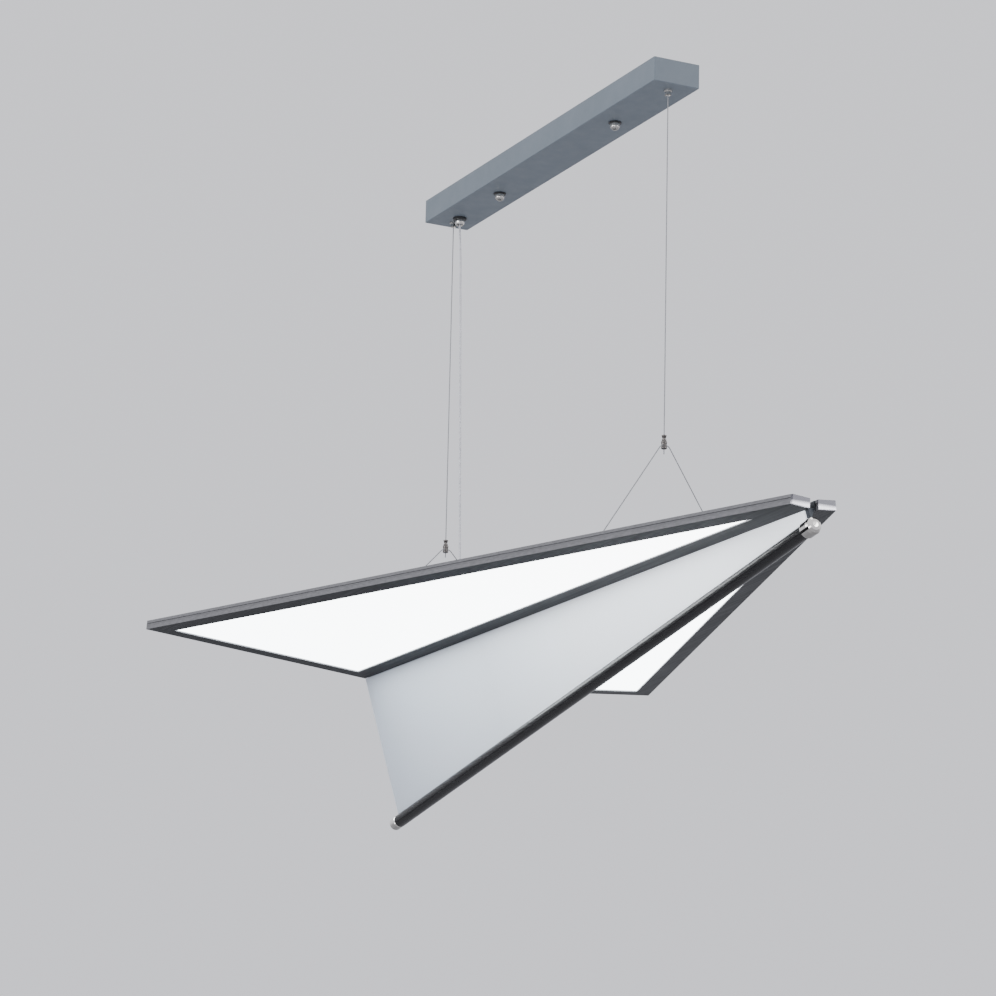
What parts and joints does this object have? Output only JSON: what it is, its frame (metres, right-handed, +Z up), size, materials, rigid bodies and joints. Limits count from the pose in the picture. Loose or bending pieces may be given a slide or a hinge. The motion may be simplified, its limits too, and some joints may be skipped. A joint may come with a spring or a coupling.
{
  "type": "paper plane pendant lamp",
  "caption": "LED pendant lamp shaped like a folded paper plane, two luminous wings and a V keel, hung on steel wires from a slim ceiling canopy.",
  "frame": {"origin": "centre of the ceiling bracket's upper face, where it meets the ceiling", "axes": "+X to the lamp's nose, +Y to port, +Z up into the ceiling"},
  "size_m": [1.0197, 0.7, 0.7918],
  "materials": {
    "canopy_paint": "satin powder coat",
    "zinc_steel": "zinc plated",
    "nickel": "polished nickel",
    "dark_nickel": "black nickel",
    "wire_steel": "stranded",
    "black_nylon": "moulded",
    "clear_pvc": "clear sheath over tinned cores",
    "gunmetal": "brushed and anodised",
    "silver": "satin",
    "plain_aluminium": "mill finish",
    "back_plate_grey": "anodised",
    "opal_diffuser": "opal, lit",
    "light_guide": "clear acrylic",
    "reflector_white": "white film",
    "led_board": "white board with diodes",
    "keel_white": "satin white",
    "tube_black": "gloss black anodised",
    "driver_white": "moulded"
  },
  "bodies": {
    "canopy": {"ceiling_bracket": "zinc_steel", "bracket_studs": "zinc_steel", "stud_nuts": "zinc_steel", "canopy_shell": "canopy_paint", "cap_nut_seats": "black_nylon", "front_ceiling_ferrule": "nickel", "rear_ceiling_ferrule": "nickel", "ferrule_lock_nuts": "zinc_steel", "cable_gland": "black_nylon", "gland_collar": "nickel", "gland_lock_nut": "black_nylon", "led_driver": "driver_white", "terminal_block": "driver_white"},
    "front_cap_nut": {"front_cap_nut": "nickel"},
    "rear_cap_nut": {"rear_cap_nut": "nickel"},
    "swivels": {"front_swivel_ball": "nickel", "rear_swivel_ball": "nickel"},
    "rear_wire": {"rear_wire": "wire_steel", "rear_wire_bead": "wire_steel"},
    "front_wire": {"front_wire": "wire_steel", "front_wire_bead": "wire_steel"},
    "rear_gripper": {"rear_gripper": "dark_nickel"},
    "front_gripper": {"front_gripper": "dark_nickel"},
    "rear_release_sleeve": {"rear_release_sleeve": "dark_nickel"},
    "front_release_sleeve": {"front_release_sleeve": "dark_nickel"},
    "power_cable": {"power_cable": "clear_pvc"},
    "lamp": {"front_bridle": "wire_steel", "rear_bridle": "wire_steel", "bridle_posts": "nickel", "front_strap": "gunmetal", "rear_strap": "gunmetal", "strap_screws": "zinc_steel", "junction_box": "black_nylon", "junction_box_lid": "black_nylon", "lamp_gland": "black_nylon", "led_strips": "led_board", "reflector_sheets": "reflector_white", "nose_plates": "silver", "wing_ribs": "plain_aluminium", "back_plate_screws": "zinc_steel", "keel_tube": "tube_black", "keel_tail_cap": "nickel", "keel_nose_clip": "nickel", "nose_bracket": "gunmetal", "root_angles": "plain_aluminium", "port_outer_rail": "gunmetal", "port_root_rail": "gunmetal", "port_tail_rail": "gunmetal", "port_diffuser": "opal_diffuser", "port_light_guide": "light_guide", "port_back_plate": "back_plate_grey", "port_keel_panel": "keel_white", "starboard_outer_rail": "gunmetal", "starboard_root_rail": "gunmetal", "starboard_tail_rail": "gunmetal", "starboard_diffuser": "opal_diffuser", "starboard_light_guide": "light_guide", "starboard_back_plate": "back_plate_grey", "starboard_keel_panel": "keel_white"}
  },
  "joints": [
    {"name": "side_sway", "type": "hinge", "parent": "canopy", "child": "swivels", "pos_m": [0, 0, -0.028], "axis": [1, 0, 0], "range_deg": [-10, 10]},
    {"name": "fore_aft_sway", "type": "hinge", "parent": "swivels", "child": "rear_wire", "pos_m": [-0.279, 0, -0.028], "axis": [0, 1, 0], "range_deg": [-10, 10]},
    {"name": "front_wire_sway", "type": "hinge", "parent": "swivels", "child": "front_wire", "pos_m": [0.279, 0, -0.028], "axis": [0, 1, 0], "range_deg": [-10, 10]},
    {"name": "cable_sway", "type": "hinge", "parent": "swivels", "child": "power_cable", "pos_m": [-0.261, 0, -0.028], "axis": [0, 1, 0], "range_deg": [-7.6, 7.6]},
    {"name": "height_adjust", "type": "slide", "parent": "rear_wire", "child": "rear_gripper", "axis": [0, 0, 1], "range_m": [0, 0.1], "deforming": ["power_cable"]},
    {"name": "front_height", "type": "slide", "parent": "front_wire", "child": "front_gripper", "axis": [0, 0, 1], "range_m": [0, 0.1]},
    {"name": "lamp_level", "type": "hinge", "parent": "rear_gripper", "child": "lamp", "pos_m": [-0.2771, 0, -0.458], "axis": [0, 1, 0], "range_deg": [-10, 10]},
    {"name": "rear_release", "type": "slide", "parent": "rear_gripper", "child": "rear_release_sleeve", "axis": [0, 0, -1], "range_m": [0, 0.0015], "stiffness_N_per_m": 600},
    {"name": "front_release", "type": "slide", "parent": "front_gripper", "child": "front_release_sleeve", "axis": [0, 0, -1], "range_m": [0, 0.0015], "stiffness_N_per_m": 600},
    {"name": "front_nut_turn", "type": "hinge", "parent": "canopy", "child": "front_cap_nut", "pos_m": [0.15, 0, -0.035], "axis": [0, 0, 1], "continuous": true},
    {"name": "rear_nut_turn", "type": "hinge", "parent": "canopy", "child": "rear_cap_nut", "pos_m": [-0.15, 0, -0.035], "axis": [0, 0, 1], "continuous": true}
  ],
  "couplings": [
    {"joint": "front_wire_sway", "follows": "fore_aft_sway", "ratio": 1},
    {"joint": "lamp_level", "follows": "fore_aft_sway", "ratio": -1},
    {"joint": "cable_sway", "follows": "fore_aft_sway", "ratio": 0.7557},
    {"joint": "front_height", "follows": "height_adjust", "ratio": 1}
  ]
}
